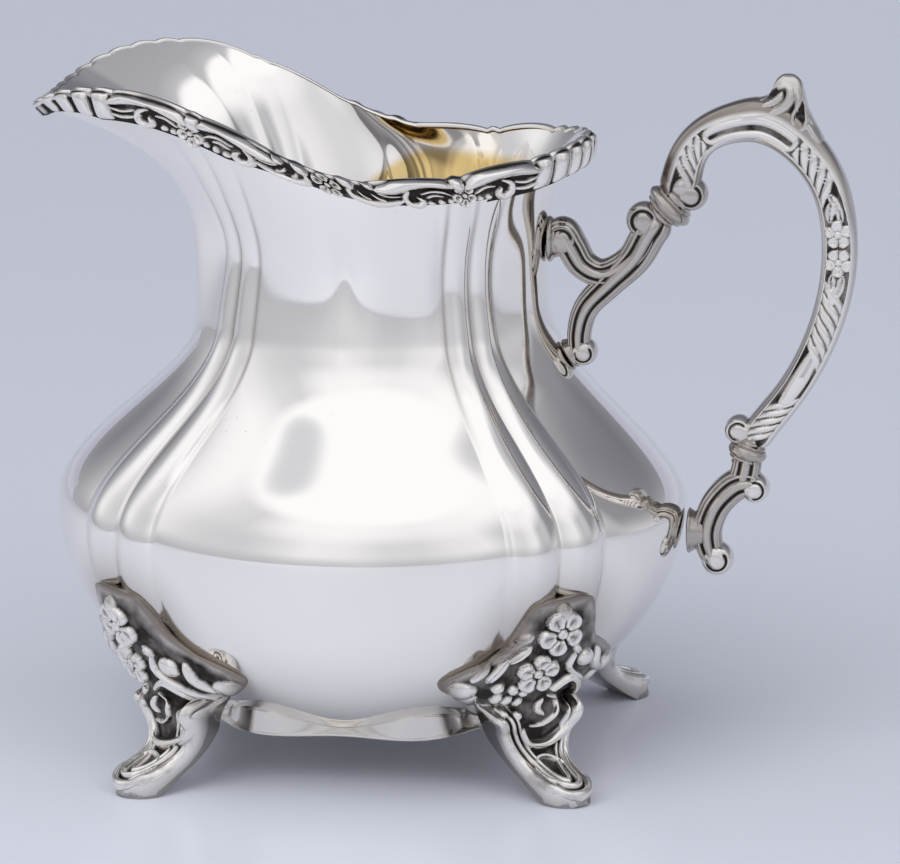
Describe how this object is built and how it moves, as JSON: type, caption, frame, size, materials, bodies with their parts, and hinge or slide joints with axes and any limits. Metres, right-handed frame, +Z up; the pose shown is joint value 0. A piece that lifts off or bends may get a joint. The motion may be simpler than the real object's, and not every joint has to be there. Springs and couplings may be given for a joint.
{
  "type": "footed creamer",
  "caption": "Footed silver creamer with a fluted body, flared spout, cast floral rim border, leafy cast feet and a C-scroll handle.",
  "frame": {"origin": "on the table under the middle of the creamer's length, in the plane through spout and handle", "axes": "+X from the spout towards the handle, +Y across the mouth, +Z up"},
  "size_m": [0.1493, 0.1158, 0.1262],
  "materials": {
    "polished_silver": "bright polished silver with faint handling marks",
    "cast_silver": "cast silver, bright on the high spots and oxidised dark brown in the recesses"
  },
  "bodies": {
    "root": {"body_shell": "polished_silver", "base_plate": "polished_silver", "rim_border_left": "cast_silver", "rim_border_right": "cast_silver", "foot_front_left": "cast_silver", "foot_front_right": "cast_silver", "foot_back_left": "cast_silver", "foot_back_right": "cast_silver", "upper_handle_bracket": "cast_silver", "handle_grip": "cast_silver", "lower_handle_bracket": "cast_silver"}
  },
  "joints": []
}
